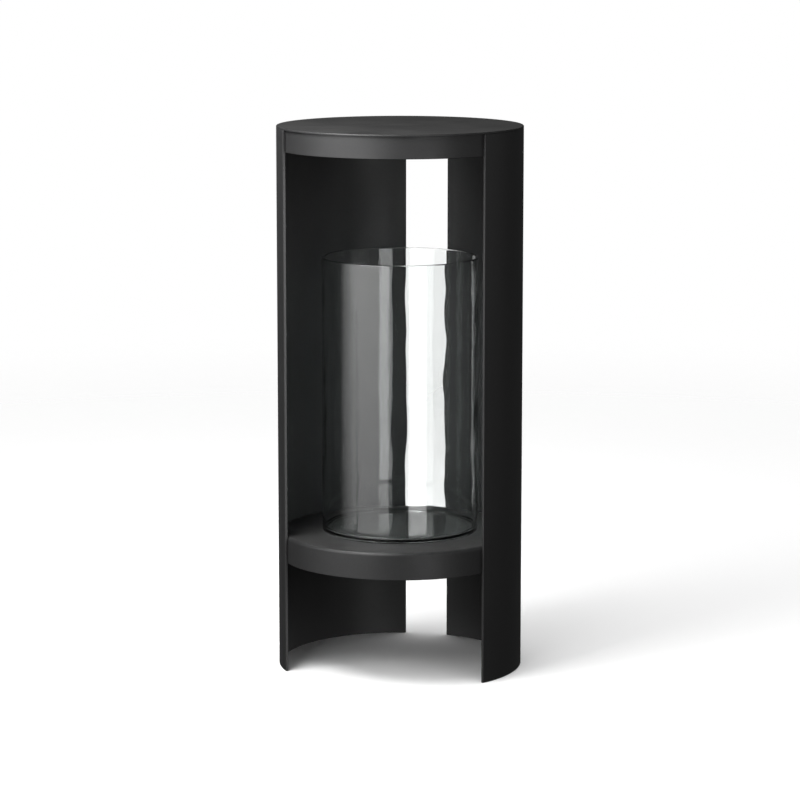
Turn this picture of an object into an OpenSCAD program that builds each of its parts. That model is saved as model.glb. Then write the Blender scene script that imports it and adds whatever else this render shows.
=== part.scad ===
// Candle lantern: two curved steel panels joined by a top cap and a pressed shelf, with a
// clear glass cylinder standing on the shelf.
// Millimetres. +Z is up, the origin is at the bottom on the round body's axis, and the
// opening faces -Y. Every angle of a fixing is counted from -Y, positive towards +X.

/* [Body] */
// Height of the lantern
body_h = 400; // [320:1:520]
// Outside diameter of the round body
body_d = 180; // [148:1:260]
// Thickness of the panels' sheet
panel_t = 2; // [1:0.1:3]
// Part of the circle that the front opening leaves open, in degrees
opening_deg = 111; // [90:1:130]
// Part of the circle that the rear slit leaves open, in degrees
slit_deg = 21; // [10:1:32]

/* [Cap and shelf] */
// Thickness of the cap's plate, which covers the panels' upper edges
plate_t = 1.5; // [1:0.1:3]
// Radius of the plate's upper edge
plate_edge_r = 0.6; // [0.2:0.1:0.8]
// Thickness of the shelf's sheet and of the cap's skirt
pan_t = 1.5; // [1:0.1:2]
// Outside radius of the bend from the shelf's flat face to its skirt
bend_r = 2.5; // [2.1:0.1:4]
// Height of the cap, from its flat face to its skirt's lower edge
cap_h = 17.5; // [16.5:0.5:30]
// Height of the shelf, from its flat face to its skirt's lower edge
shelf_h = 20; // [16.5:0.5:30]
// Height of the shelf's flat face above the ground
shelf_z = 101; // [60:1:140]
// Gap between a skirt and the panels round it
skirt_gap = 0.1; // [0.05:0.05:0.4]

/* [Glass] */
// Outside diameter of the glass
glass_d = 115; // [80:1:118]
// Height of the glass
glass_h = 203; // [120:1:206]
// Thickness of the glass wall
glass_t = 2; // [1.5:0.1:5]
// Thickness of the glass bottom
glass_floor = 2.5; // [2:0.5:10]
// Outside radius at the foot of the glass
heel_r = 1.2; // [0.8:0.1:1.5]
// Radius in the corner between the wall and the floor, inside
corner_r = 2.5; // [1:0.5:8]
// Width of the ring that the glass stands on, out to its full radius
foot_w = 7; // [5:0.5:15]
// Depth of the hollow under the glass, inside its foot ring
foot_rise = 0.4; // [0.2:0.1:1]

/* [Fixings] */
// Diameter of the threaded weld studs
stud_d = 4; // [3:1:4]
// Length of thread that stands out of a nut
stud_tail = 1.2; // [0.5:0.1:3]
// Gap round a stud in its hole in a skirt
hole_gap = 0.25; // [0.1:0.05:0.5]
// Gap round a stud in its washer
washer_gap = 0.15; // [0.1:0.05:0.3]
// Gap between a stud's outside and its nut
thread_gap = 0.05; // [0.02:0.01:0.1]
// Outside diameter of a washer
washer_d = 9; // [8:0.5:10]
// Thickness of a washer
washer_t = 0.8; // [0.5:0.1:1.2]
// Width of a nut across its flats
nut_w = 7; // [5.5:0.5:7]
// Height of a nut
nut_h = 3.2; // [2.4:0.1:4]
// Height of a stud above its skirt's lower edge
fixing_up = 8; // [6:0.5:8]
// Angle from a panel's upright edge to the nearest stud
fixing_in_deg = 22; // [8:1:40]

/* [Hidden] */
$fn = 96;
black = "#2b2b2c";
zinc = "#b9bcbf";
clear = [0.85, 0.9, 0.92, 0.35];
over = 1;

panel_r = body_d / 2;
panel_in_r = panel_r - panel_t;
opening_half = opening_deg / 2;
slit_half = slit_deg / 2;
panel_deg = 180 - opening_half - slit_half;
panel_h = body_h - plate_t;

skirt_r = panel_in_r - skirt_gap;
skirt_in_r = skirt_r - pan_t;

glass_r = glass_d / 2;
rim_r = glass_t / 2;
hollow_r = glass_r - glass_t;

// A flat washer meets the hollow side of a skirt at its two outer edges
washer_r = sqrt(pow(skirt_in_r, 2) - pow(washer_d / 2, 2));
nut_r = washer_r - washer_t;
stud_tip_r = nut_r - nut_h - stud_tail;
tip_chamfer = stud_d / 8;
nut_chamfer = nut_w / 16;

function fixing_z(pan) = fixing_up + (pan == "cap" ? body_h - cap_h : shelf_z - shelf_h);

function fixing_deg(side, place) =
    (side == "left" ? -1 : 1)
    * (place == "front" ? opening_half + fixing_in_deg : 180 - slit_half - fixing_in_deg);

PANS = ["cap", "shelf"];
SIDES = ["left", "right"];
PLACES = ["front", "rear"];
KINDS = ["stud", "washer", "nut"];

function fixing_name(pan, side, place, kind) = str(pan, "_", side, "_", place, "_", kind);

// Curved sheet on the +X side, from the opening's edge to the slit's edge and up to the cap
module panel() {
    color(black)
        rotate_extrude(angle = panel_deg, start = opening_half - 90)
            translate([panel_in_r, 0])
                square([panel_t, panel_h]);
}

module right_panel() {
    panel();
}

module left_panel() {
    mirror([1, 0, 0])
        panel();
}

// Half section of a block whose upper outer corner is rounded, with its top at y = 0
module rounded_section(radius, height, corner) {
    translate([0, -height])
        square([radius, height - corner]);
    translate([0, -height])
        square([radius - corner, height]);
    translate([radius - corner, -corner])
        circle(corner);
}

// Clearance holes for the studs of a skirt of that height, whose part has its top at z = 0
module stud_holes(height) {
    for (side = SIDES)
        for (place = PLACES)
            at_fixing(fixing_deg(side, place), fixing_up - height)
                translate([0, 0, skirt_in_r - over])
                    cylinder(h = pan_t + 2 * over, d = stud_d + 2 * hole_gap);
}

// Round plate over the panels, with a skirt under it that stands inside them
module top_cap() {
    color(black)
        translate([0, 0, body_h])
            difference() {
                rotate_extrude() {
                    rounded_section(panel_r, plate_t, plate_edge_r);
                    translate([skirt_in_r, -cap_h])
                        square([pan_t, cap_h - plate_t / 2]);
                }
                stud_holes(cap_h);
            }
}

// Round pressed pan, open below
module candle_shelf() {
    color(black)
        translate([0, 0, shelf_z])
            difference() {
                rotate_extrude()
                    difference() {
                        rounded_section(skirt_r, shelf_h, bend_r);
                        translate([0, -pan_t])
                            rounded_section(skirt_in_r, shelf_h, bend_r - pan_t);
                    }
                stud_holes(shelf_h);
            }
}

// Half section of the glass below its rim's round, with the foot's hollow cut out
module glass_section() {
    difference() {
        union() {
            translate([0, heel_r])
                square([glass_r, glass_h - rim_r - heel_r]);
            square([glass_r - heel_r, glass_h - rim_r]);
            translate([glass_r - heel_r, heel_r])
                circle(heel_r);
        }
        translate([0, glass_floor + corner_r])
            square([hollow_r, glass_h]);
        translate([0, glass_floor])
            square([hollow_r - corner_r, glass_h]);
        translate([hollow_r - corner_r, glass_floor + corner_r])
            circle(corner_r);
        translate([0, -over])
            square([glass_r - foot_w, foot_rise + over]);
    }
}

module glass_cylinder() {
    color(clear)
        translate([0, 0, shelf_z])
            rotate_extrude() {
                glass_section();
                translate([glass_r - rim_r, glass_h - rim_r])
                    circle(rim_r);
            }
}

// Places its children on a stud's line, with their +Z pointing outwards from the body's axis
module at_fixing(deg, z) {
    rotate([0, 0, deg - 90])
        translate([0, 0, z])
            rotate([0, 90, 0])
                children();
}

// Threaded stud whose outer end follows the panel that it is welded to
module weld_stud() {
    color(zinc)
        intersection() {
            union() {
                translate([0, 0, stud_tip_r])
                    cylinder(h = tip_chamfer, d1 = stud_d - 2 * tip_chamfer, d2 = stud_d);
                translate([0, 0, stud_tip_r + tip_chamfer])
                    cylinder(h = panel_r - stud_tip_r - tip_chamfer, d = stud_d);
            }
            rotate([0, 90, 0])
                cylinder(h = 2 * washer_d, r = panel_in_r, center = true);
        }
}

module washer() {
    color(zinc)
        translate([0, 0, washer_r - washer_t])
            difference() {
                cylinder(h = washer_t, d = washer_d);
                translate([0, 0, -over])
                    cylinder(h = washer_t + 2 * over, d = stud_d + 2 * washer_gap);
            }
}

// Hexagonal nut whose inward corners are turned off
module nut() {
    color(zinc)
        translate([0, 0, nut_r - nut_h])
            difference() {
                intersection() {
                    cylinder(h = nut_h, d = nut_w / cos(30), $fn = 6);
                    union() {
                        cylinder(h = nut_chamfer, d1 = nut_w, d2 = nut_w / cos(30));
                        translate([0, 0, nut_chamfer])
                            cylinder(h = nut_h, d = nut_w / cos(30) + over);
                    }
                }
                translate([0, 0, -over])
                    cylinder(h = nut_h + 2 * over, d = stud_d + 2 * thread_gap);
            }
}

left_panel();
right_panel();
top_cap();
candle_shelf();
glass_cylinder();

for (pan = PANS)
    for (side = SIDES)
        for (place = PLACES)
            at_fixing(fixing_deg(side, place), fixing_z(pan)) {
                weld_stud();
                washer();
                nut();
            }
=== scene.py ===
import math

import bmesh
import bpy
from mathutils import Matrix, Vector


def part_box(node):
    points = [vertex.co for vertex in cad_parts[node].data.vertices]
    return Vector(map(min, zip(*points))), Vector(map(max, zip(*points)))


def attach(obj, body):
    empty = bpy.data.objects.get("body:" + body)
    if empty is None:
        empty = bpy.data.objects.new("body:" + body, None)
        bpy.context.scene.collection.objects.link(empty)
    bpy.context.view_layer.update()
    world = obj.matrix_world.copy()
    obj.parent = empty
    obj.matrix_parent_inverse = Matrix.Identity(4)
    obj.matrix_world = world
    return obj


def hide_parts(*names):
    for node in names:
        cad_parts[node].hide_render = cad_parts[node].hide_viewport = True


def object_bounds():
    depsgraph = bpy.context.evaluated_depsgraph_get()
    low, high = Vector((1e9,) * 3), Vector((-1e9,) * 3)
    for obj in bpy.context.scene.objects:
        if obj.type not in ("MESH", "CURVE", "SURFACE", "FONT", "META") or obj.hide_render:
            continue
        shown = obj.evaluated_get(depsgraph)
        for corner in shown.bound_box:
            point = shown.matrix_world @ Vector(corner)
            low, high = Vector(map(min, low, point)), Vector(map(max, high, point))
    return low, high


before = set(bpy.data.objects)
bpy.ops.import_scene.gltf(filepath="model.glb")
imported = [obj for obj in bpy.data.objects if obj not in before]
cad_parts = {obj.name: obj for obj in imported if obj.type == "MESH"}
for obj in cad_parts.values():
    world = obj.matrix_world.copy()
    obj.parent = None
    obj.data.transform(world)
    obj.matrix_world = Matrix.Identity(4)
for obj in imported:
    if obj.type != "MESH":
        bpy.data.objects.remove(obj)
cadLow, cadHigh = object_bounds()
mm = 0.001
seam = 0.002 * mm
axisUp = Vector((0, 0, 1))


# Small helpers for node trees: a value is either a number or another node's output

def feed(tree, target, value):
    if isinstance(value, bpy.types.NodeSocket):
        tree.links.new(value, target)
    else:
        target.default_value = value


def addNode(tree, kind, inputs=None, **settings):
    node = tree.nodes.new(kind)
    for name, value in settings.items():
        setattr(node, name, value)
    for key, value in (inputs or {}).items():
        feed(tree, node.inputs[key], value)
    return node


def maths(tree, operation, *values):
    node = addNode(tree, "ShaderNodeMath", dict(enumerate(values)), operation=operation)
    return node.outputs[0]


def vectorMaths(tree, operation, *values):
    node = addNode(tree, "ShaderNodeVectorMath", dict(enumerate(values)), operation=operation)
    return node.outputs["Value" if operation in ("LENGTH", "DOT_PRODUCT") else "Vector"]


def combine(tree, x, y, z):
    return addNode(tree, "ShaderNodeCombineXYZ", {0: x, 1: y, 2: z}).outputs[0]


def split(tree, vector):
    return addNode(tree, "ShaderNodeSeparateXYZ", {0: vector}).outputs


def ramp(tree, value, fromLow, fromHigh, toLow, toHigh, smooth=False):
    values = dict(enumerate((value, fromLow, fromHigh, toLow, toHigh)))
    kind = "SMOOTHSTEP" if smooth else "LINEAR"
    return addNode(tree, "ShaderNodeMapRange", values, interpolation_type=kind).outputs[0]


def newTree(name, kind, inputs, outputs):
    tree = bpy.data.node_groups.new(name, kind)
    for label, (socketKind, value) in inputs.items():
        kindName = "NodeSocket" + socketKind
        socket = tree.interface.new_socket(label, in_out="INPUT", socket_type=kindName)
        if value is not None:
            socket.default_value = value
    for label, socketKind in outputs.items():
        kindName = "NodeSocket" + socketKind
        tree.interface.new_socket(label, in_out="OUTPUT", socket_type=kindName)
    given = tree.nodes.new("NodeGroupInput").outputs
    result = tree.nodes.new("NodeGroupOutput").inputs
    return tree, given, result


def shapeTree(name, inputs):
    sockets = {"Geometry": ("Geometry", None), **inputs, "Material": ("Material", None)}
    return newTree(name, "GeometryNodeTree", sockets, {"Geometry": "Geometry"})


def endTree(tree, given, result, geometry):
    realized = addNode(tree, "GeometryNodeRealizeInstances", {0: geometry}).outputs[0]
    paint = {"Geometry": realized, "Material": given["Material"]}
    painted = addNode(tree, "GeometryNodeSetMaterial", paint).outputs[0]
    feed(tree, result["Geometry"], painted)


# From a tree to a finished piece: a plain mesh with closed seams, outward faces and marked edges.
# Whatever lies nearer than one seam is joined

def markEdges(mesh, shallow=4, steep=10):
    # Attribute "edge" grows from 0 to 1 as a turn of the surface goes from shallow to steep
    work = bmesh.new()
    work.from_mesh(mesh)
    attribute = mesh.attributes.new("edge", "FLOAT", "POINT")
    for vertex in work.verts:
        turn = max((math.degrees(e.calc_face_angle(0)) for e in vertex.link_edges), default=0)
        attribute.data[vertex.index].value = min(max((turn - shallow) / (steep - shallow), 0), 1)
    work.free()


def makePlain(piece):
    depsgraph = bpy.context.evaluated_depsgraph_get()
    piece.data = bpy.data.meshes.new_from_object(piece.evaluated_get(depsgraph))
    piece.data.name = piece.name
    piece.modifiers.clear()


def finishPiece(name, tree, values, points=(), sharpAngle=35):
    base = bpy.data.meshes.new(name)
    base.from_pydata([tuple(p) for p in points], [], [])
    piece = bpy.data.objects.new(name, base)
    bpy.context.collection.objects.link(piece)
    modifier = piece.modifiers.new("shape", "NODES")
    modifier.node_group = tree
    for item in tree.interface.items_tree:
        if item.in_out == "INPUT" and item.name in values:
            modifier[item.identifier] = values[item.name]
    makePlain(piece)
    piece.data.materials.clear()
    piece.data.materials.append(values["Material"])
    work = bmesh.new()
    work.from_mesh(piece.data)
    bmesh.ops.remove_doubles(work, verts=work.verts, dist=seam)
    bmesh.ops.dissolve_degenerate(work, dist=seam, edges=work.edges)
    bmesh.ops.recalc_face_normals(work, faces=work.faces)
    for face in work.faces:
        face.smooth = True
        face.material_index = 0
    for edge in work.edges:
        edge.smooth = math.degrees(edge.calc_face_angle(0)) < sharpAngle
    work.to_mesh(piece.data)
    work.free()
    markEdges(piece.data)
    weighted = piece.modifiers.new("normals", "WEIGHTED_NORMAL")
    weighted.keep_sharp = True
    makePlain(piece)
    return piece


# Parts of trees that several pieces share

def moveTo(tree, geometry, place):
    moved = {"Geometry": geometry, "Position": place}
    return addNode(tree, "GeometryNodeSetPosition", moved).outputs[0]


def moveBy(tree, geometry, offset):
    moved = {"Geometry": geometry, "Offset": offset}
    return addNode(tree, "GeometryNodeSetPosition", moved).outputs[0]


def closeSeams(tree, geometry, distance):
    merged = {"Geometry": geometry, "Distance": distance}
    return addNode(tree, "GeometryNodeMergeByDistance", merged).outputs[0]


def scaleVector(tree, vector, scale):
    scaled = {0: vector, "Scale": scale}
    return addNode(tree, "ShaderNodeVectorMath", scaled, operation="SCALE").outputs[0]


def profileCurve(tree, corners, fillets, filletSteps):
    # Open outline in x (radius) and z, with a fillet radius at each corner
    index = tree.nodes.new("GeometryNodeInputIndex").outputs[0]

    def pick(kind, values):
        node = addNode(tree, "GeometryNodeIndexSwitch", {"Index": index}, data_type=kind)
        while len(node.index_switch_items) < len(values):
            node.index_switch_items.new()
        for number, value in enumerate(values):
            feed(tree, node.inputs[number + 1], value)
        return node.outputs[0]

    places = {"Count": len(corners)}
    places["Position"] = pick("VECTOR", [combine(tree, x, 0, z) for x, z in corners])
    points = addNode(tree, "GeometryNodePoints", places).outputs[0]
    outline = addNode(tree, "GeometryNodePointsToCurves", {"Points": points}).outputs[0]
    spline = {"Curve": outline}
    straight = addNode(tree, "GeometryNodeCurveSplineType", spline, spline_type="POLY").outputs[0]
    rounded = {"Curve": straight, "Count": filletSteps, "Limit Radius": True}
    rounded["Radius"] = pick("FLOAT", fillets)
    return addNode(tree, "GeometryNodeFilletCurve", rounded, mode="POLY").outputs[0]


def addRings(tree, curve, spacing):
    # Extra points on the outline's long straight stretches, about one spacing apart
    index = tree.nodes.new("GeometryNodeInputIndex").outputs[0]
    place = tree.nodes.new("GeometryNodeInputPosition").outputs[0]
    following = addNode(tree, "FunctionNodeIntegerMath", {0: index, 1: 1}, operation="ADD").outputs[0]
    field = {"Index": following, "Value": place}
    ahead = addNode(tree, "GeometryNodeFieldAtIndex", field, data_type="FLOAT_VECTOR").outputs[0]
    length = vectorMaths(tree, "LENGTH", vectorMaths(tree, "SUBTRACT", ahead, place))
    cuts = maths(tree, "FLOOR", maths(tree, "DIVIDE", length, spacing))
    return addNode(tree, "GeometryNodeSubdivideCurve", {"Curve": curve, "Cuts": cuts}).outputs[0]


def makeTurnedTree():
    # Turns an outline once round +Z: one column of the grid for each point of the outline
    sockets = {"Profile": ("Geometry", None), "Steps": ("Int", 96)}
    tree, given, result = newTree("Turned shape", "GeometryNodeTree", sockets, {"Mesh": "Geometry"})
    size = addNode(tree, "GeometryNodeAttributeDomainSize", {0: given["Profile"]}, component="CURVE")
    rows = maths(tree, "ADD", given["Steps"], 1)
    cells = {"Vertices X": size.outputs["Point Count"], "Vertices Y": rows}
    grid = addNode(tree, "GeometryNodeMeshGrid", cells).outputs[0]
    index = tree.nodes.new("GeometryNodeInputIndex").outputs[0]
    column = maths(tree, "FLOOR", maths(tree, "DIVIDE", maths(tree, "ADD", index, 0.5), rows))
    row = maths(tree, "SUBTRACT", index, maths(tree, "MULTIPLY", column, rows))
    place = tree.nodes.new("GeometryNodeInputPosition").outputs[0]
    sampled = {"Geometry": given["Profile"], "Value": place, "Index": column}
    sample = addNode(tree, "GeometryNodeSampleIndex", sampled, data_type="FLOAT_VECTOR").outputs[0]
    radius, _, height = split(tree, sample)
    angle = maths(tree, "MULTIPLY", maths(tree, "DIVIDE", row, given["Steps"]), math.tau)
    x = maths(tree, "MULTIPLY", radius, maths(tree, "COSINE", angle))
    y = maths(tree, "MULTIPLY", radius, maths(tree, "SINE", angle))
    moved = moveTo(tree, grid, combine(tree, x, y, height))
    feed(tree, result["Mesh"], closeSeams(tree, moved, seam))
    return tree


turnedTree = makeTurnedTree()


def turned(tree, profile, steps):
    node = addNode(tree, "GeometryNodeGroup", node_tree=turnedTree)
    feed(tree, node.inputs["Profile"], profile)
    feed(tree, node.inputs["Steps"], steps)
    return node.outputs[0]


def onPoints(tree, points, shape):
    # One copy on each point, with its +Z pointing away from the lantern's upright axis
    x, y, _ = split(tree, tree.nodes.new("GeometryNodeInputPosition").outputs[0])
    outward = {"Vector": combine(tree, x, y, 0)}
    turn = addNode(tree, "FunctionNodeAlignRotationToVector", outward, axis="Z").outputs[0]
    copies = {"Points": points, "Instance": shape, "Rotation": turn}
    copied = addNode(tree, "GeometryNodeInstanceOnPoints", copies).outputs[0]
    return addNode(tree, "GeometryNodeRealizeInstances", {0: copied}).outputs[0]


# Shader groups that several finishes share

def objectPlace(tree):
    return tree.nodes.new("ShaderNodeTexCoord").outputs["Object"]


def noise(tree, size, detail=2.0, stretch=None):
    # Noise from 0 to 1 whose features are about one size across, in metres
    where = objectPlace(tree)
    if stretch:
        where = addNode(tree, "ShaderNodeMapping", {"Vector": where, "Scale": stretch}).outputs[0]
    values = {"Vector": where, "Scale": maths(tree, "DIVIDE", 1.0, size), "Detail": detail}
    return addNode(tree, "ShaderNodeTexNoise", values).outputs["Fac"]


def contrast(tree, value, low, high):
    return ramp(tree, value, low, high, 0.0, 1.0)


def makeGrainGroup():
    # Fine sprayed or plated surface: a long orange peel with a fine grain over it
    sockets = {
        "Peel Size": ("Float", 1.6 * mm),
        "Grain Size": ("Float", 0.3 * mm),
        "Grain Share": ("Float", 0.3),
        "Cloud Size": ("Float", 40 * mm),
    }
    outputs = {"Height": "Float", "Tone": "Float", "Cloud": "Float"}
    tree, given, result = newTree("Surface grain", "ShaderNodeTree", sockets, outputs)
    peel = noise(tree, given["Peel Size"])
    grain = noise(tree, given["Grain Size"], detail=1.0)
    fine = maths(tree, "MULTIPLY", grain, given["Grain Share"])
    feed(tree, result["Height"], maths(tree, "ADD", peel, fine))
    feed(tree, result["Tone"], maths(tree, "MULTIPLY_ADD", peel, 0.5, maths(tree, "MULTIPLY", grain, 0.5)))
    feed(tree, result["Cloud"], noise(tree, given["Cloud Size"], detail=3.0))
    return tree


def makeWearGroup():
    # Mask of rubbed edges, broken up by patches, from the piece's own attribute "edge"
    sockets = {"Amount": ("Float", 0.5), "Patch Size": ("Float", 6 * mm)}
    tree, given, result = newTree("Edge wear", "ShaderNodeTree", sockets, {"Mask": "Float"})
    edge = addNode(tree, "ShaderNodeAttribute", attribute_name="edge").outputs["Fac"]
    cloud = noise(tree, given["Patch Size"], detail=4.0)
    patches = ramp(tree, cloud, 0.38, 0.62, 0.0, 1.0, smooth=True)
    rubbed = maths(tree, "MULTIPLY", edge, patches)
    feed(tree, result["Mask"], maths(tree, "MULTIPLY", rubbed, given["Amount"]))
    return tree


def makeDustAndTopLightGroup():
    # Thin dust on faces that look upwards, mixed with painted light: the same pale colour makes the tops
    # of the cap and shelf lighter, as if lit from above
    sockets = {
        "Amount": ("Float", 0.1),
        "Patch Size": ("Float", 25 * mm),
        "Speck Size": ("Float", 0.8 * mm),
    }
    tree, given, result = newTree("Settled dust", "ShaderNodeTree", sockets, {"Mask": "Float"})
    normal = tree.nodes.new("ShaderNodeNewGeometry").outputs["Normal"]
    level = vectorMaths(tree, "DOT_PRODUCT", normal, axisUp)
    up = ramp(tree, level, 0.7, 1.0, 0.0, 1.0, smooth=True)
    cloud = ramp(tree, noise(tree, given["Patch Size"], detail=5.0), 0.3, 0.7, 0.35, 1.0)
    specks = ramp(tree, noise(tree, given["Speck Size"], detail=0.0), 0.66, 0.72, 0.0, 0.6)
    settled = maths(tree, "MULTIPLY", up, maths(tree, "ADD", cloud, specks))
    feed(tree, result["Mask"], maths(tree, "MULTIPLY", settled, given["Amount"]))
    return tree


grainGroup = makeGrainGroup()
wearGroup = makeWearGroup()
dustAndTopLightGroup = makeDustAndTopLightGroup()


def useGroup(tree, group, values):
    node = addNode(tree, "ShaderNodeGroup", node_tree=group)
    for name, value in values.items():
        feed(tree, node.inputs[name], value)
    return node.outputs


def newMaterial(name, **plain):
    material = bpy.data.materials.new(name)
    material.use_nodes = True
    tree = material.node_tree
    shader = tree.nodes["Principled BSDF"]
    for label, value in plain.items():
        shader.inputs[label.replace("_", " ")].default_value = value
    return material, tree, shader


def mixColor(tree, amount, first, second):
    node = addNode(tree, "ShaderNodeMix", data_type="RGBA")
    feed(tree, node.inputs[0], amount)
    feed(tree, node.inputs[6], first)
    feed(tree, node.inputs[7], second)
    return node.outputs[2]


def grey(value, blue=1.0):
    return (value, value, value * blue, 1.0)


blackCoat = {
    "deep": grey(0.0125, 1.02),
    "light": grey(0.0175, 1.02),
    "rubbed": grey(0.03, 1.03),
    # The pale dust colour and its amount are partly real dust and partly painted light that lightens the
    # upward faces
    "dust": grey(0.20, 0.96),
    "grain": {"Peel Size": 1.4 * mm, "Grain Size": 0.35 * mm, "Grain Share": 0.35},
    "wear": {"Amount": 0.3, "Patch Size": 9 * mm},
    "settled": {"Amount": 0.09, "Patch Size": 30 * mm},
    "roughness": 0.46,
    "roughnessSpread": 0.05,
    "smootherWhereRubbed": 0.06,
    "rougherUnderDustAndTopLight": 1.2,
    "peelDepth": 0.010 * mm,
}


def makeBlackCoat():
    coat = blackCoat
    material, tree, shader = newMaterial("blackPowderCoat", Specular_IOR_Level=0.5)
    grain = useGroup(tree, grainGroup, coat["grain"])
    wear = useGroup(tree, wearGroup, coat["wear"])["Mask"]
    dust = useGroup(tree, dustAndTopLightGroup, coat["settled"])["Mask"]
    color = mixColor(tree, contrast(tree, grain["Tone"], 0.35, 0.65), coat["deep"], coat["light"])
    color = mixColor(tree, wear, color, coat["rubbed"])
    # Upward faces get the dust colour: real dust specks and patches, and painted light that lightens the
    # cap and shelf tops
    feed(tree, shader.inputs["Base Color"], mixColor(tree, dust, color, coat["dust"]))
    spread = coat["roughnessSpread"]
    rough = ramp(tree, grain["Cloud"], 0.3, 0.7, coat["roughness"] - spread, coat["roughness"] + spread)
    smoother = maths(tree, "MULTIPLY", wear, coat["smootherWhereRubbed"])
    rougher = maths(tree, "MULTIPLY", dust, coat["rougherUnderDustAndTopLight"])
    rough = maths(tree, "ADD", maths(tree, "SUBTRACT", rough, smoother), rougher)
    feed(tree, shader.inputs["Roughness"], rough)
    bump = addNode(tree, "ShaderNodeBump", {"Height": grain["Height"], "Distance": coat["peelDepth"]})
    feed(tree, shader.inputs["Normal"], bump.outputs[0])
    return material


zincPlate = {
    "dark": (0.46, 0.47, 0.48, 1.0),
    "bright": (0.66, 0.67, 0.67, 1.0),
    "rubbed": (0.78, 0.78, 0.77, 1.0),
    "grain": {"Peel Size": 0.5 * mm, "Grain Size": 0.12 * mm, "Cloud Size": 4 * mm},
    "wear": {"Amount": 0.8, "Patch Size": 1.2 * mm},
    "roughness": 0.30,
    "roughnessSpread": 0.08,
    "grainDepth": 0.004 * mm,
}


def makeZincPlate():
    zinc = zincPlate
    material, tree, shader = newMaterial("zincPlatedSteel", Metallic=1.0)
    grain = useGroup(tree, grainGroup, zinc["grain"])
    wear = useGroup(tree, wearGroup, zinc["wear"])["Mask"]
    color = mixColor(tree, contrast(tree, grain["Cloud"], 0.3, 0.7), zinc["dark"], zinc["bright"])
    feed(tree, shader.inputs["Base Color"], mixColor(tree, wear, color, zinc["rubbed"]))
    spread = zinc["roughnessSpread"]
    rough = ramp(tree, grain["Tone"], 0.3, 0.7, zinc["roughness"] - spread, zinc["roughness"] + spread)
    feed(tree, shader.inputs["Roughness"], rough)
    bump = addNode(tree, "ShaderNodeBump", {"Height": grain["Height"], "Distance": zinc["grainDepth"]})
    feed(tree, shader.inputs["Normal"], bump.outputs[0])
    return material


clearGlass = {
    "clear": (0.985, 0.992, 0.99, 1.0),
    "tinted": (0.965, 0.982, 0.976, 1.0),
    "shadowTint": (0.90, 0.92, 0.915, 1.0),
    "ior": 1.5,
    "cloud": {"Cloud Size": 60 * mm},
    "striaeSize": 14 * mm,
    "striaeStretch": (1.0, 1.0, 2.2),
    "striaeDepth": 0.02 * mm,
    "rimFrom": 1.0 * mm,
    "rimTo": 0.5 * mm,
    "rimRoughness": 0.22,
}


def makeClearGlass():
    glass = clearGlass
    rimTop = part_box("glass_cylinder")[1][2]
    material, tree, shader = newMaterial(
        "clearGlass", Transmission_Weight=1.0, IOR=glass["ior"], Roughness=0.0)
    cloud = useGroup(tree, grainGroup, glass["cloud"])["Cloud"]
    color = mixColor(tree, contrast(tree, cloud, 0.35, 0.65), glass["clear"], glass["tinted"])
    feed(tree, shader.inputs["Base Color"], color)
    striae = noise(tree, glass["striaeSize"], detail=1.0, stretch=glass["striaeStretch"])
    bump = addNode(tree, "ShaderNodeBump", {"Height": striae, "Distance": glass["striaeDepth"]})
    feed(tree, shader.inputs["Normal"], bump.outputs[0])
    # The rim is ground, so it catches the light as a fine pale line
    height = split(tree, objectPlace(tree))[2]
    low, high = rimTop - glass["rimFrom"], rimTop - glass["rimTo"]
    feed(tree, shader.inputs["Roughness"], ramp(tree, height, low, high, 0.0, glass["rimRoughness"]))
    # Lamps light what is inside and behind the glass
    lampRay = tree.nodes.new("ShaderNodeLightPath").outputs["Is Shadow Ray"]
    through = addNode(tree, "ShaderNodeBsdfTransparent", {"Color": glass["shadowTint"]}).outputs[0]
    mixed = addNode(tree, "ShaderNodeMixShader", {0: lampRay, 1: shader.outputs[0], 2: through})
    feed(tree, tree.nodes["Material Output"].inputs["Surface"], mixed.outputs[0])
    return material


blackPowderCoat = makeBlackCoat()
zincPlatedSteel = makeZincPlate()
clearGlassBody = makeClearGlass()
print("finishes made")


# Camera, to the right of the opening's middle and a little higher than the cap

cameraPlace = {"azimuth": 13.5, "distance": 2.265, "height": 0.5744, "pitch": 9.45, "lens": 140.2}


def makeCamera():
    place = cameraPlace
    data = bpy.data.cameras.new("camera")
    data.lens = place["lens"]
    data.sensor_width = 36.0
    camera = bpy.data.objects.new("camera", data)
    bpy.context.collection.objects.link(camera)
    turn = math.radians(place["azimuth"])
    flat = place["distance"]
    camera.location = (flat * math.sin(turn), -flat * math.cos(turn), place["height"])
    camera.rotation_euler = (math.radians(90 - place["pitch"]), 0, turn)
    bpy.context.scene.camera = camera


makeCamera()
print("camera placed")


# Curved panels: a rounded box in the flat, rolled round the axis

panelLow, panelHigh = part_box("right_panel")
panelRadius = panelHigh.x
openingHalf = math.acos(-panelLow.y / panelRadius)
slitHalf = math.acos(panelHigh.y / panelRadius)
panelSheet = panelRadius - panelLow.x / math.sin(slitHalf)
panelSize = {
    "edgeRadius": 0.4 * mm,
    "edgeSteps": 3,
    "arcSteps": 120,
    "sheetSteps": 10,
    "heightSteps": 30,
}


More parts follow.
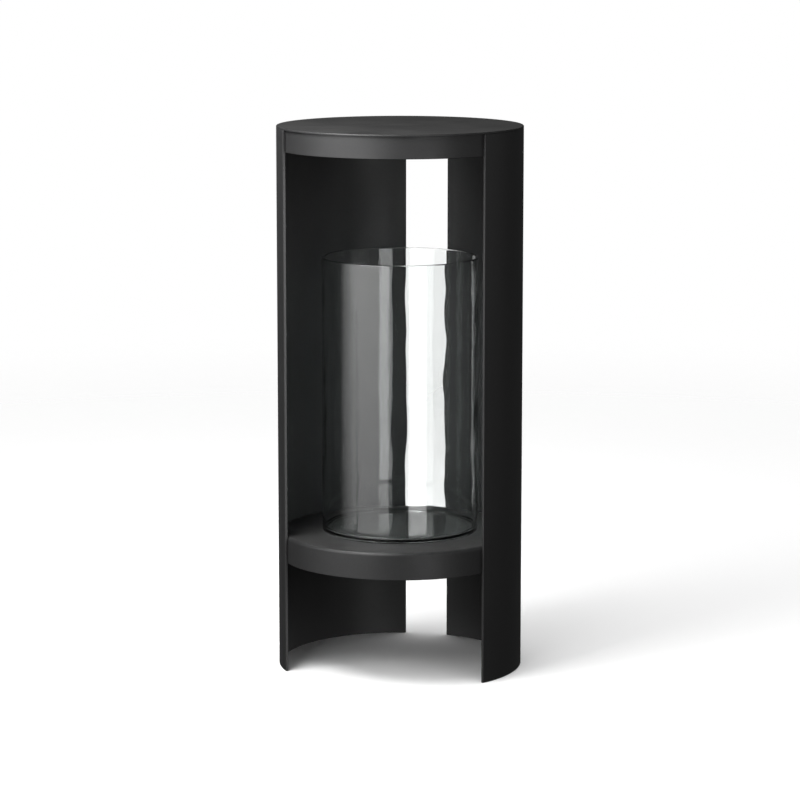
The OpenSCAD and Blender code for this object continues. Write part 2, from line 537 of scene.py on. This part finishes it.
def makePanelTree():
    tree, given, result = shapeTree("Rolled panel", {
        "Radius": ("Float", 90 * mm),
        "Sheet": ("Float", 2 * mm),
        "Height": ("Float", 400 * mm),
        "Start": ("Float", 0.0),
        "Sweep": ("Float", 1.0),
        "Edge Radius": ("Float", 0.4 * mm),
        "Edge Steps": ("Int", 3),
        "Arc Steps": ("Int", 120),
        "Sheet Steps": ("Int", 10),
        "Height Steps": ("Int", 30),
    })
    length = maths(tree, "MULTIPLY", given["Radius"], given["Sweep"])
    bevel = given["Edge Radius"]
    zoneSteps = maths(tree, "ADD", given["Edge Steps"], 1)
    zone = maths(tree, "MULTIPLY", bevel, maths(tree, "DIVIDE", zoneSteps, given["Edge Steps"]))
    counts = [given["Arc Steps"], given["Sheet Steps"], given["Height Steps"]]
    sizes = [length, given["Sheet"], given["Height"]]
    verts = [maths(tree, "ADD", count, 1) for count in counts]
    cube = addNode(tree, "GeometryNodeMeshCube", {"Size": (1, 1, 1)})
    for number, count in enumerate(verts):
        feed(tree, cube.inputs[number + 1], count)
    place = split(tree, tree.nodes.new("GeometryNodeInputPosition").outputs[0])
    spread, core = [], []
    for along, count, size in zip(place, counts, sizes):
        # More steps near both ends, where the edges are rounded
        unit = maths(tree, "ADD", along, 0.5)
        near = maths(tree, "DIVIDE", zoneSteps, count)
        far = maths(tree, "SUBTRACT", 1.0, near)
        middle = maths(tree, "SUBTRACT", size, maths(tree, "MULTIPLY", zone, 2))
        first = ramp(tree, unit, 0.0, near, 0.0, zone)
        second = ramp(tree, unit, near, far, 0.0, middle)
        third = ramp(tree, unit, far, 1.0, 0.0, zone)
        total = maths(tree, "ADD", first, maths(tree, "ADD", second, third))
        spread.append(total)
        inner = maths(tree, "MAXIMUM", total, bevel)
        core.append(maths(tree, "MINIMUM", inner, maths(tree, "SUBTRACT", size, bevel)))
    boxed = combine(tree, *spread)
    corePlace = combine(tree, *core)
    out = vectorMaths(tree, "NORMALIZE", vectorMaths(tree, "SUBTRACT", boxed, corePlace))
    rounded = vectorMaths(tree, "ADD", corePlace, scaleVector(tree, out, bevel))
    arc, depth, z = split(tree, rounded)
    angle = maths(tree, "ADD", given["Start"], maths(tree, "DIVIDE", arc, given["Radius"]))
    radius = maths(tree, "SUBTRACT", given["Radius"], depth)
    x = maths(tree, "MULTIPLY", radius, maths(tree, "SINE", angle))
    y = maths(tree, "MULTIPLY", maths(tree, "MULTIPLY", radius, maths(tree, "COSINE", angle)), -1)
    endTree(tree, given, result, moveTo(tree, cube.outputs[0], combine(tree, x, y, z)))
    return tree


panelTree = makePanelTree()
panelSweep = math.pi - openingHalf - slitHalf
for side, start in (("right", openingHalf), ("left", slitHalf - math.pi)):
    panel = finishPiece(side + "PanelSheet", panelTree, {
        "Radius": panelRadius,
        "Sheet": panelSheet,
        "Height": panelHigh.z - panelLow.z,
        "Start": start,
        "Sweep": panelSweep,
        "Edge Radius": panelSize["edgeRadius"],
        "Edge Steps": panelSize["edgeSteps"],
        "Arc Steps": panelSize["arcSteps"],
        "Sheet Steps": panelSize["sheetSteps"],
        "Height Steps": panelSize["heightSteps"],
        "Material": blackPowderCoat,
    })
    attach(panel, "frame")
    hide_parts(side + "_panel")
print("panels made")


# Cap and shelf, each with a skirt inside the panels and a hole in it for each stud

capSize = {"plate": 1.5 * mm, "edge": 0.6 * mm, "underEdge": 0.3 * mm, "weld": 0.7 * mm}
shelfSize = {"bend": 2.5 * mm}
skirtSize = {
    "sheet": 1.5 * mm,
    "hem": 0.45 * mm,
    "hole": 4.5 * mm,
    "drillLength": 6 * mm,
    "steps": 192,
    "rings": 12 * mm,
}
fixingSides = [side + "_" + place for side in ("left", "right") for place in ("front", "rear")]


def middleOf(node):
    low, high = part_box(node)
    return (low + high) / 2


skirtSockets = {
    "Top": ("Float", 400 * mm),
    "Depth": ("Float", 18 * mm),
    "Skirt Radius": ("Float", 88 * mm),
    "Sheet": ("Float", 1.5 * mm),
    "Hem Radius": ("Float", 0.4 * mm),
    "Hole": ("Float", 4.5 * mm),
    "Steps": ("Int", 192),
    "Ring Spacing": ("Float", 12 * mm),
}


def drilled(tree, given, outline):
    # The turned outline, drilled at each point of the piece's own mesh
    ringed = addRings(tree, outline, given["Ring Spacing"])
    radius = maths(tree, "DIVIDE", given["Hole"], 2)
    rod = {"Vertices": 32, "Radius": radius, "Depth": skirtSize["drillLength"]}
    drill = addNode(tree, "GeometryNodeMeshCylinder", rod).outputs[0]
    drills = onPoints(tree, given["Geometry"], drill)
    cut = addNode(tree, "GeometryNodeMeshBoolean", operation="DIFFERENCE", solver="EXACT")
    tree.links.new(turned(tree, ringed, given["Steps"]), cut.inputs["Mesh 1"])
    tree.links.new(drills, cut.inputs["Mesh 2"])
    return cut.outputs[0]


def makeCapTree():
    # Flat plate as wide as the panels, with the skirt welded under it
    tree, given, result = shapeTree("Cap", {
        **skirtSockets,
        "Plate Radius": ("Float", 90 * mm),
        "Plate": ("Float", 1.5 * mm),
        "Edge Radius": ("Float", 0.6 * mm),
        "Under Edge Radius": ("Float", 0.3 * mm),
        "Weld Radius": ("Float", 0.7 * mm),
    })
    top, outer, wide = given["Top"], given["Skirt Radius"], given["Plate Radius"]
    underEdge, hemEdge = given["Under Edge Radius"], given["Hem Radius"]
    under = maths(tree, "SUBTRACT", top, given["Plate"])
    hem = maths(tree, "SUBTRACT", top, given["Depth"])
    inner = maths(tree, "SUBTRACT", outer, given["Sheet"])
    corners = [(0, top), (wide, top), (wide, under), (outer, under), (outer, hem), (inner, hem)]
    corners += [(inner, under), (0, under)]
    fillets = [0, given["Edge Radius"], underEdge, underEdge]
    fillets += [hemEdge, hemEdge, given["Weld Radius"], 0]
    endTree(tree, given, result, drilled(tree, given, profileCurve(tree, corners, fillets, 6)))
    return tree


def makeShelfTree():
    # Pan pressed from one sheet, with a rounded bend from its flat face to its skirt
    sockets = {**skirtSockets, "Bend Radius": ("Float", 2.5 * mm)}
    tree, given, result = shapeTree("Pressed shelf", sockets)
    top, sheet, outer = given["Top"], given["Sheet"], given["Skirt Radius"]
    under = maths(tree, "SUBTRACT", top, sheet)
    hem = maths(tree, "SUBTRACT", top, given["Depth"])
    inner = maths(tree, "SUBTRACT", outer, sheet)
    corners = [(0, top), (outer, top), (outer, hem), (inner, hem), (inner, under), (0, under)]
    inside = maths(tree, "SUBTRACT", given["Bend Radius"], sheet)
    fillets = [0, given["Bend Radius"], given["Hem Radius"], given["Hem Radius"], inside, 0]
    endTree(tree, given, result, drilled(tree, given, profileCurve(tree, corners, fillets, 8)))
    return tree


def makePan(name, node, label, tree, values):
    low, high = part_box(node)
    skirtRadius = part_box("candle_shelf")[1].x
    holes = [middleOf(f"{label}_{side}_washer") for side in fixingSides]
    holes = [Vector((p.x, p.y, 0)).normalized() * skirtRadius + axisUp * p.z for p in holes]
    pan = finishPiece(name, tree, {
        "Top": high.z,
        "Depth": high.z - low.z,
        "Skirt Radius": skirtRadius,
        "Plate Radius": high.x,
        "Sheet": skirtSize["sheet"],
        "Hem Radius": skirtSize["hem"],
        "Hole": skirtSize["hole"],
        "Steps": skirtSize["steps"],
        "Ring Spacing": skirtSize["rings"],
        "Material": blackPowderCoat,
        **values,
    }, points=holes)
    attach(pan, "frame")
    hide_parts(node)


makePan("topCapPlate", "top_cap", "cap", makeCapTree(), {
    "Plate": capSize["plate"],
    "Edge Radius": capSize["edge"],
    "Under Edge Radius": capSize["underEdge"],
    "Weld Radius": capSize["weld"],
})
makePan("candleShelfPan", "candle_shelf", "shelf", makeShelfTree(), {"Bend Radius": shelfSize["bend"]})
print("cap and shelf made")


# Glass cylinder with a flat floor, a ground rim and the slight waves of drawn glass

glassSize = {
    "wall": 2 * mm,
    "floor": 2.5 * mm,
    "heel": 1.2 * mm,
    "corner": 2.5 * mm,
    "footWidth": 7 * mm,
    "footRise": 0.4 * mm,
    "waveHeight": 0.22 * mm,
    "waveLength": 19 * mm,
    "waveStretch": 0.8,
    "waveDetail": 1.5,
    "faceShift": 1.7,
    "calmFoot": 14 * mm,
    "lipShare": 0.499,
    "hollowShare": 0.45,
    "seed": 3.0,
    "steps": 224,
    "rings": 5 * mm,
}


def makeGlassTree():
    tree, given, result = shapeTree("Drawn glass", {
        "Radius": ("Float", 57.5 * mm),
        "Foot": ("Float", 101 * mm),
        "Height": ("Float", 203 * mm),
        "Wall": ("Float", 2 * mm),
        "Floor": ("Float", 2.5 * mm),
        "Heel Radius": ("Float", 1.2 * mm),
        "Corner Radius": ("Float", 2.5 * mm),
        "Foot Width": ("Float", 7 * mm),
        "Foot Rise": ("Float", 0.4 * mm),
        "Wave Height": ("Float", 0.1 * mm),
        "Wave Length": ("Float", 22 * mm),
        "Seed": ("Float", 0.0),
        "Steps": ("Int", 224),
        "Ring Spacing": ("Float", 5 * mm),
    })
    outer, foot = given["Radius"], given["Foot"]
    rim = maths(tree, "ADD", foot, given["Height"])
    hollow = maths(tree, "ADD", foot, given["Foot Rise"])
    floorTop = maths(tree, "ADD", foot, given["Floor"])
    inner = maths(tree, "SUBTRACT", outer, given["Wall"])
    ring = maths(tree, "SUBTRACT", outer, given["Foot Width"])
    lip = maths(tree, "MULTIPLY", given["Wall"], glassSize["lipShare"])
    small = maths(tree, "MULTIPLY", given["Foot Rise"], glassSize["hollowShare"])
    corners = [(0, hollow), (ring, hollow), (ring, foot), (outer, foot)]
    corners += [(outer, rim), (inner, rim), (inner, floorTop), (0, floorTop)]
    fillets = [0, small, small, given["Heel Radius"], lip, lip, given["Corner Radius"], 0]
    outline = addRings(tree, profileCurve(tree, corners, fillets, 8), given["Ring Spacing"])
    body = turned(tree, outline, given["Steps"])
    x, y, z = split(tree, tree.nodes.new("GeometryNodeInputPosition").outputs[0])
    radius = vectorMaths(tree, "LENGTH", combine(tree, x, y, 0))
    # The wall's two faces are far enough apart in w for each to have waves of its own
    face = maths(tree, "MULTIPLY", maths(tree, "DIVIDE", radius, given["Wall"]), glassSize["faceShift"])
    w = maths(tree, "ADD", given["Seed"], face)
    where = combine(tree, x, y, maths(tree, "MULTIPLY", z, glassSize["waveStretch"]))
    waves = {"Vector": where, "Detail": glassSize["waveDetail"]}
    wave = addNode(tree, "ShaderNodeTexNoise", waves, noise_dimensions="4D")
    feed(tree, wave.inputs["W"], w)
    feed(tree, wave.inputs["Scale"], maths(tree, "DIVIDE", 1.0, given["Wave Length"]))
    rise = maths(tree, "SUBTRACT", wave.outputs["Fac"], 0.5)
    up = maths(tree, "SUBTRACT", z, foot)
    clear = ramp(tree, up, given["Heel Radius"], glassSize["calmFoot"], 0.0, 1.0, smooth=True)
    fullHeight = maths(tree, "MULTIPLY", given["Wave Height"], 2)
    amount = maths(tree, "MULTIPLY", maths(tree, "MULTIPLY", rise, clear), fullHeight)
    normal = tree.nodes.new("GeometryNodeInputNormal").outputs[0]
    wavy = moveBy(tree, body, scaleVector(tree, normal, amount))
    endTree(tree, given, result, wavy)
    return tree


glassLow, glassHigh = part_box("glass_cylinder")
glassPiece = finishPiece("glassCylinderBody", makeGlassTree(), {
    "Radius": glassHigh.x,
    "Foot": glassLow.z,
    "Height": glassHigh.z - glassLow.z,
    "Wall": glassSize["wall"],
    "Floor": glassSize["floor"],
    "Heel Radius": glassSize["heel"],
    "Corner Radius": glassSize["corner"],
    "Foot Width": glassSize["footWidth"],
    "Foot Rise": glassSize["footRise"],
    "Wave Height": glassSize["waveHeight"],
    "Wave Length": glassSize["waveLength"],
    "Seed": glassSize["seed"],
    "Steps": glassSize["steps"],
    "Ring Spacing": glassSize["rings"],
    "Material": clearGlassBody,
}, sharpAngle=60)
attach(glassPiece, "glass")
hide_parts("glass_cylinder")
print("glass made")


# Studs, washers and nuts inside the two pans, one set of each on the eight fixing points

fixingSize = {
    "stud": 4 * mm,
    "studTail": 1.2 * mm,
    "pitch": 0.7 * mm,
    "threadDepth": 0.40 * mm,
    "crest": 0.08,
    "groove": 0.40,
    "rootShare": 1.15,
    "stepsPerTurn": 6,
    "studSteps": 32,
    "washer": 9 * mm,
    "washerHole": 4.3 * mm,
    "washerSheet": 0.8 * mm,
    "washerSteps": 48,
    "nut": 7 * mm,
    "nutHeight": 3.2 * mm,
    "nutBore": 4.1 * mm,
    "nutFaceStep": 0.1 * mm,
    "nutBevelShare": 0.75,
    "countersink": 0.25 * mm,
    "nutSteps": 72,
    "nutRings": 0.35 * mm,
    "edge": 0.12 * mm,
}
fixings = [f"{label}_{side}" for label in ("cap", "shelf") for side in fixingSides]


def ringCorners(tree, inner, outer, height):
    half = maths(tree, "DIVIDE", height, 2)
    low = maths(tree, "MULTIPLY", half, -1)
    first = (inner, 0)
    return [first, (inner, half), (outer, half), (outer, low), (inner, low), first]


def makeWasherTree():
    tree, given, result = shapeTree("Flat washer", {
        "Diameter": ("Float", 9 * mm),
        "Hole": ("Float", 4.3 * mm),
        "Sheet": ("Float", 0.8 * mm),
        "Edge Radius": ("Float", 0.1 * mm),
    })
    inner = maths(tree, "DIVIDE", given["Hole"], 2)
    outer = maths(tree, "DIVIDE", given["Diameter"], 2)
    edge = given["Edge Radius"]
    corners = ringCorners(tree, inner, outer, given["Sheet"])
    outline = profileCurve(tree, corners, [0, edge, edge, edge, edge, 0], 3)
    washer = turned(tree, outline, fixingSize["washerSteps"])
    endTree(tree, given, result, onPoints(tree, given["Geometry"], washer))
    return tree


def makeNutTree():
    # A turned ring with bevelled ends, whose sides are then cut to a hexagon
    tree, given, result = shapeTree("Hexagon nut", {
        "Width": ("Float", 7 * mm),
        "Height": ("Float", 3.2 * mm),
        "Bore": ("Float", 4.1 * mm),
    })
    flat = maths(tree, "DIVIDE", given["Width"], 2)
    inner = maths(tree, "DIVIDE", given["Bore"], 2)
    corner = maths(tree, "DIVIDE", flat, math.cos(math.radians(30)))
    half = maths(tree, "DIVIDE", given["Height"], 2)
    fall = maths(tree, "MULTIPLY", maths(tree, "SUBTRACT", corner, flat), fixingSize["nutBevelShare"])
    face = maths(tree, "SUBTRACT", flat, fixingSize["nutFaceStep"])
    shoulder = maths(tree, "SUBTRACT", half, fall)
    countersink = maths(tree, "ADD", inner, fixingSize["countersink"])
    lipUp = maths(tree, "SUBTRACT", half, fixingSize["countersink"])
    corners = [(inner, 0), (inner, lipUp), (countersink, half), (face, half), (corner, shoulder)]
    mirrored = [(x, maths(tree, "MULTIPLY", z, -1)) for x, z in reversed(corners[1:])]
    corners += mirrored + [(inner, 0)]
    outline = profileCurve(tree, corners, [0] * len(corners), 1)
    ring = turned(tree, addRings(tree, outline, fixingSize["nutRings"]), fixingSize["nutSteps"])
    x, y, z = split(tree, tree.nodes.new("GeometryNodeInputPosition").outputs[0])
    angle = maths(tree, "ARCTAN2", y, x)
    sixth = math.radians(60)
    within = maths(tree, "SUBTRACT", maths(tree, "FLOORED_MODULO", angle, sixth), sixth / 2)
    side = maths(tree, "DIVIDE", flat, maths(tree, "COSINE", within))
    radius = vectorMaths(tree, "LENGTH", combine(tree, x, y, 0))
    share = maths(tree, "DIVIDE", maths(tree, "MINIMUM", radius, side), radius)
    cutX = maths(tree, "MULTIPLY", x, share)
    cutY = maths(tree, "MULTIPLY", y, share)
    cut = moveTo(tree, ring, combine(tree, cutX, cutY, z))
    endTree(tree, given, result, onPoints(tree, given["Geometry"], cut))
    return tree


def makeStudTree():
    # The grid winds up by one pitch in each turn, and both ends are bevelled and closed
    tree, given, result = shapeTree("Threaded stud", {
        "Diameter": ("Float", 4 * mm),
        "Length": ("Float", 6.4 * mm),
        "Pitch": ("Float", 0.7 * mm),
        "Thread Depth": ("Float", 0.4 * mm),
    })
    perTurn, around = fixingSize["stepsPerTurn"], fixingSize["studSteps"]
    length, pitch = given["Length"], given["Pitch"]
    turns = maths(tree, "CEIL", maths(tree, "ADD", maths(tree, "DIVIDE", length, pitch), 1))
    columns = maths(tree, "ADD", maths(tree, "MULTIPLY", turns, perTurn), 1)
    cells = {"Vertices X": columns, "Vertices Y": around + 1}
    grid = addNode(tree, "GeometryNodeMeshGrid", cells).outputs[0]
    index = tree.nodes.new("GeometryNodeInputIndex").outputs[0]
    column = maths(tree, "FLOOR", maths(tree, "DIVIDE", maths(tree, "ADD", index, 0.5), around + 1))
    row = maths(tree, "SUBTRACT", index, maths(tree, "MULTIPLY", column, around + 1))
    turn = maths(tree, "DIVIDE", row, around)
    pitches = maths(tree, "DIVIDE", column, perTurn)
    climb = maths(tree, "SUBTRACT", maths(tree, "ADD", pitches, turn), 1)
    z = maths(tree, "MULTIPLY", climb, pitch)
    z = maths(tree, "MINIMUM", maths(tree, "MAXIMUM", z, 0.0), length)
    # The thousandth keeps the whole pitches from rounding down
    phase = maths(tree, "FRACT", maths(tree, "ADD", pitches, 0.001))
    fromMiddle = maths(tree, "ABSOLUTE", maths(tree, "SUBTRACT", phase, 0.5))
    groove = ramp(tree, fromMiddle, fixingSize["crest"], fixingSize["groove"], 1.0, 0.0)
    outer = maths(tree, "DIVIDE", given["Diameter"], 2)
    thread = maths(tree, "SUBTRACT", outer, maths(tree, "MULTIPLY", groove, given["Thread Depth"]))
    deepest = maths(tree, "MULTIPLY", given["Thread Depth"], fixingSize["rootShare"])
    root = maths(tree, "SUBTRACT", outer, deepest)
    tip = maths(tree, "ADD", root, z)
    end = maths(tree, "ADD", root, maths(tree, "SUBTRACT", length, z))
    radius = maths(tree, "MINIMUM", thread, maths(tree, "MINIMUM", tip, end))
    angle = maths(tree, "MULTIPLY", turn, math.tau)
    x = maths(tree, "MULTIPLY", radius, maths(tree, "COSINE", angle))
    y = maths(tree, "MULTIPLY", radius, maths(tree, "SINE", angle))
    wall = closeSeams(tree, moveTo(tree, grid, combine(tree, x, y, z)), seam)
    circle = {"Vertices": around, "Radius": root}
    disc = addNode(tree, "GeometryNodeMeshCircle", circle, fill_type="TRIANGLE_FAN").outputs[0]
    upper = moveBy(tree, disc, combine(tree, 0, 0, length))
    whole = addNode(tree, "GeometryNodeJoinGeometry")
    for part in (wall, disc, upper):
        tree.links.new(part, whole.inputs[0])
    closed = closeSeams(tree, whole.outputs[0], 2 * seam)
    endTree(tree, given, result, onPoints(tree, given["Geometry"], closed))
    return tree


def radial(point):
    return Vector((point.x, point.y, 0)).length


nutMiddle = middleOf(fixings[0] + "_nut")
tipRadius = radial(nutMiddle) - fixingSize["nutHeight"] / 2 - fixingSize["studTail"]
studLength = panelRadius - panelSheet - tipRadius
tips = []
for fixing in fixings:
    washer = middleOf(fixing + "_washer")
    tips.append(Vector((washer.x, washer.y, 0)).normalized() * tipRadius + axisUp * washer.z)

kinds = {
    "stud": (makeStudTree(), tips, {
        "Diameter": fixingSize["stud"],
        "Length": studLength,
        "Pitch": fixingSize["pitch"],
        "Thread Depth": fixingSize["threadDepth"],
    }),
    "washer": (makeWasherTree(), [middleOf(fixing + "_washer") for fixing in fixings], {
        "Diameter": fixingSize["washer"],
        "Hole": fixingSize["washerHole"],
        "Sheet": fixingSize["washerSheet"],
        "Edge Radius": fixingSize["edge"],
    }),
    "nut": (makeNutTree(), [middleOf(fixing + "_nut") for fixing in fixings], {
        "Width": fixingSize["nut"],
        "Height": fixingSize["nutHeight"],
        "Bore": fixingSize["nutBore"],
    }),
}
for kind, (tree, points, values) in kinds.items():
    values["Material"] = zincPlatedSteel
    sharpAngle = 25 if kind == "nut" else 45
    piece = finishPiece(kind + "Set", tree, values, points, sharpAngle)
    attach(piece, "frame")
    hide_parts(*[f"{fixing}_{kind}" for fixing in fixings])
print("fixings made")


# Studio: a pale floor that fades out into a white surround, and soft boxes round the lantern

floorSize = {"radius": 3.0, "fadeFrom": 0.4, "fadeTo": 1.7, "color": grey(0.86)}


def makeFloor():
    mesh = bpy.data.meshes.new("floor")
    work = bmesh.new()
    bmesh.ops.create_circle(work, cap_ends=True, radius=floorSize["radius"], segments=96)
    work.to_mesh(mesh)
    work.free()
    floor = bpy.data.objects.new("floor", mesh)
    bpy.context.collection.objects.link(floor)
    material, tree, shader = newMaterial("floor", Roughness=0.9, Specular_IOR_Level=0.1)
    shader.inputs["Base Color"].default_value = floorSize["color"]
    distance = vectorMaths(tree, "LENGTH", objectPlace(tree))
    fade = ramp(tree, distance, floorSize["fadeFrom"], floorSize["fadeTo"], 0.0, 1.0, smooth=True)
    # Reflections see the soft boxes and not the floor, and a view from below looks through it
    glossy = tree.nodes.new("ShaderNodeLightPath").outputs["Glossy Depth"]
    fade = maths(tree, "MAXIMUM", fade, maths(tree, "GREATER_THAN", glossy, 0.5))
    underside = tree.nodes.new("ShaderNodeNewGeometry").outputs["Backfacing"]
    fade = maths(tree, "MAXIMUM", fade, underside)
    clear = tree.nodes.new("ShaderNodeBsdfTransparent").outputs[0]
    mixed = addNode(tree, "ShaderNodeMixShader", {0: fade, 1: shader.outputs[0], 2: clear})
    feed(tree, tree.nodes["Material Output"].inputs["Surface"], mixed.outputs[0])
    mesh.materials.append(material)
    floor.visible_shadow = False
    floor.visible_glossy = False
    floor.visible_diffuse = False
    return floor


# "white" is what the camera sees, "light" is what lights the lantern and "mirrored" is what its
# glass mirrors, except near "floorWay"
surround = {
    "white": 1.0,
    "light": 0.055,
    "mirrored": 0.01,
    "floorWay": (-0.50, 0.85, -0.16),
    "floorCone": 0.985,
}


def makeSurround():
    world = bpy.data.worlds.new("surround")
    world.use_nodes = True
    tree = world.node_tree
    path = tree.nodes.new("ShaderNodeLightPath").outputs
    bounces = maths(tree, "ADD", path["Glossy Depth"], path["Diffuse Depth"])
    unbounced = maths(tree, "LESS_THAN", bounces, 0.5)
    straight = maths(tree, "MULTIPLY", path["Is Transmission Ray"], unbounced)
    mirrored = maths(tree, "GREATER_THAN", path["Glossy Depth"], 0.5)
    mirrored = maths(tree, "MULTIPLY", path["Is Singular Ray"], mirrored)
    # The glass also mirrors the white floor behind the lantern, which lies towards "floorWay"
    direction = tree.nodes.new("ShaderNodeTexCoord").outputs["Generated"]
    toFloor = vectorMaths(tree, "DOT_PRODUCT", direction, surround["floorWay"])
    inCone = maths(tree, "GREATER_THAN", toFloor, surround["floorCone"])
    behind = maths(tree, "MULTIPLY", mirrored, inCone)
    white = maths(tree, "MAXIMUM", path["Is Camera Ray"], maths(tree, "MAXIMUM", straight, behind))
    strength = ramp(tree, mirrored, 0.0, 1.0, surround["light"], surround["mirrored"])
    strength = ramp(tree, white, 0.0, 1.0, strength, surround["white"])
    feed(tree, tree.nodes["Background"].inputs["Strength"], strength)
    tree.nodes["Background"].inputs["Color"].default_value = (1, 1, 1, 1)
    bpy.context.scene.world = world


# Angles are counted from the camera, towards its right; "middle" is the height of a box's centre.
# Radiance 1 is the white of the surround. "fade" is the share of the width over which the light
# grows from one edge, and boxFoot dims the lowest part of each box
softBoxes = {
    "leftBox": {
        "angle": -41, "distance": 1.5, "middle": 0.66,
        "width": 1.5, "height": 1.9, "radiance": 2.6, "fade": 0.001,
    },
    "sideBox": {
        "angle": -82, "distance": 1.5, "middle": 0.65,
        "width": 0.9, "height": 1.8, "radiance": 2.7, "fade": 1,
    },
    "rightStrip": {
        "angle": 25.5, "distance": 1.5, "middle": 0.05,
        "width": 0.70, "height": 0.8, "radiance": 2.5, "fade": 0.001,
    },
    "insideFill": {
        "angle": 46, "distance": 1.5, "middle": 0.70,
        "width": 0.6, "height": 1.0, "radiance": 13.0, "fade": 0.001,
    },
    "rightFill": {
        "angle": 78, "distance": 1.6, "middle": 0.5,
        "width": 1.5, "height": 1.2, "radiance": 0.28, "fade": 0.001,
    },
    "upperBox": {
        "angle": -50, "distance": 0.32, "middle": 0.62,
        "width": 0.3, "height": 0.2, "radiance": 19.0, "fade": 0.001,
    },
    "backBox": {
        "angle": 195, "distance": 0.50, "middle": 0.66,
        "width": 0.9, "height": 0.2, "radiance": 0.05, "fade": 0.001,
    },
}
boxFoot = {"share": 0.22, "dim": 0.5}
floorLight = {"size": 5.0, "height": 2.0, "radiance": 1.45}


def makeLight(name, radiance, width, height, place, target):
    data = bpy.data.lights.new(name, "AREA")
    data.shape = "RECTANGLE"
    data.size = width
    data.size_y = height
    data.energy = radiance * math.pi * width * height
    light = bpy.data.objects.new(name, data)
    bpy.context.collection.objects.link(light)
    light.location = place
    light.rotation_euler = (Vector(target) - light.location).to_track_quat("-Z", "Y").to_euler()
    light.visible_camera = False
    light.visible_transmission = radiance > 1  # no darker than the surround behind it
    return light


def fadeLight(light, sideShare):
    data = light.data
    data.use_nodes = True
    tree = data.node_tree
    place = split(tree, tree.nodes.new("ShaderNodeNewGeometry").outputs["Parametric"])
    side = ramp(tree, place[0], 0.0, sideShare, 0.0, 1.0)
    foot = ramp(tree, place[1], 0.0, boxFoot["share"], boxFoot["dim"], 1.0)
    feed(tree, tree.nodes["Emission"].inputs["Strength"], maths(tree, "MULTIPLY", side, foot))


def makeSoftBox(name, box):
    turn = math.radians(cameraPlace["azimuth"] + box["angle"])
    flat = box["distance"]
    place = (flat * math.sin(turn), -flat * math.cos(turn), box["middle"])
    target = (0, 0, min(box["middle"], cadHigh.z))
    light = makeLight(name, box["radiance"], box["width"], box["height"], place, target)
    fadeLight(light, box["fade"])
    return light


def lightOnly(light, piece):
    lit = bpy.data.collections.new("litBy" + light.name[0].upper() + light.name[1:])
    lit.objects.link(piece)
    light.light_linking.receiver_collection = lit


def makeFloorLight(floor):
    # Shines on the floor alone, so that the floor is white and the lantern still shades it
    size = floorLight["size"]
    place = (0, 0, floorLight["height"])
    light = makeLight("floorLight", floorLight["radiance"], size, size, place, (0, 0, 0))
    light.visible_glossy = False
    lightOnly(light, floor)


makeFloorLight(makeFloor())
makeSurround()
boxes = {name: makeSoftBox(name, box) for name, box in softBoxes.items()}
lightOnly(boxes["insideFill"], bpy.data.objects["leftPanelSheet"])
bpy.context.scene.view_settings.view_transform = "Standard"
print("studio made")
